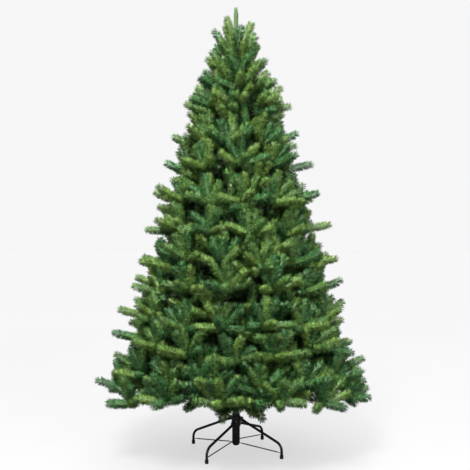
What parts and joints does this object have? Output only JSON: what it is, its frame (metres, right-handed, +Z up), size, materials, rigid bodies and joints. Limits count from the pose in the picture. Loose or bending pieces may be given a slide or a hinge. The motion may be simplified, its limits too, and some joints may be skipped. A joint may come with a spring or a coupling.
{
  "type": "artificial christmas tree",
  "caption": "Undecorated artificial fir tree with a metal pole, tiers of bristly green boughs and a folding black steel stand with bent legs.",
  "frame": {"origin": "where the pole's axis meets the floor, under the middle of the tree", "axes": "+Z up along the pole; -Y towards the front, the side the picture shows; +X to the viewer's right"},
  "size_m": [1.3099, 1.3144, 2.1],
  "materials": {
    "pole_green": "satin green paint on steel tube",
    "black_steel": "semi-gloss black powder coat",
    "black_rubber": "matte moulded",
    "bough_brown": "steel wire wrapped in matte brown film",
    "needle_green": "matte slit-film needles in two greens"
  },
  "bodies": {
    "root": {"pole": "pole_green", "stand_socket": "black_steel", "socket_plug": "black_rubber", "leg_1": "black_steel", "leg_2": "black_steel", "leg_3": "black_steel", "leg_4": "black_steel", "foot_cap_1": "black_rubber", "foot_cap_2": "black_rubber", "foot_cap_3": "black_rubber", "foot_cap_4": "black_rubber", "brace_1": "black_steel", "brace_2": "black_steel", "brace_3": "black_steel", "brace_4": "black_steel", "bough_low_1": "bough_brown", "bough_low_2": "bough_brown", "bough_low_3": "bough_brown", "bough_low_4": "bough_brown", "bough_low_5": "bough_brown", "bough_low_6": "bough_brown", "bough_low_7": "bough_brown", "bough_second_1": "bough_brown", "bough_second_2": "bough_brown", "bough_second_3": "bough_brown", "bough_second_4": "bough_brown", "bough_second_5": "bough_brown", "bough_second_6": "bough_brown", "bough_second_7": "bough_brown", "foliage_low_1": "needle_green", "foliage_low_2": "needle_green", "foliage_low_3": "needle_green", "foliage_low_4": "needle_green", "foliage_low_5": "needle_green", "foliage_low_6": "needle_green", "foliage_low_7": "needle_green", "foliage_second_1": "needle_green", "foliage_second_2": "needle_green", "foliage_second_3": "needle_green", "foliage_second_4": "needle_green", "foliage_second_5": "needle_green", "foliage_second_6": "needle_green", "foliage_second_7": "needle_green", "foliage_third_1": "needle_green", "foliage_third_2": "needle_green", "foliage_third_3": "needle_green", "foliage_third_4": "needle_green", "foliage_third_5": "needle_green", "foliage_third_6": "needle_green", "foliage_fourth_1": "needle_green", "foliage_fourth_2": "needle_green", "foliage_fourth_3": "needle_green", "foliage_fourth_4": "needle_green", "foliage_fourth_5": "needle_green", "foliage_fifth_1": "needle_green", "foliage_fifth_2": "needle_green", "foliage_fifth_3": "needle_green", "foliage_fifth_4": "needle_green", "foliage_top": "needle_green"}
  },
  "joints": []
}
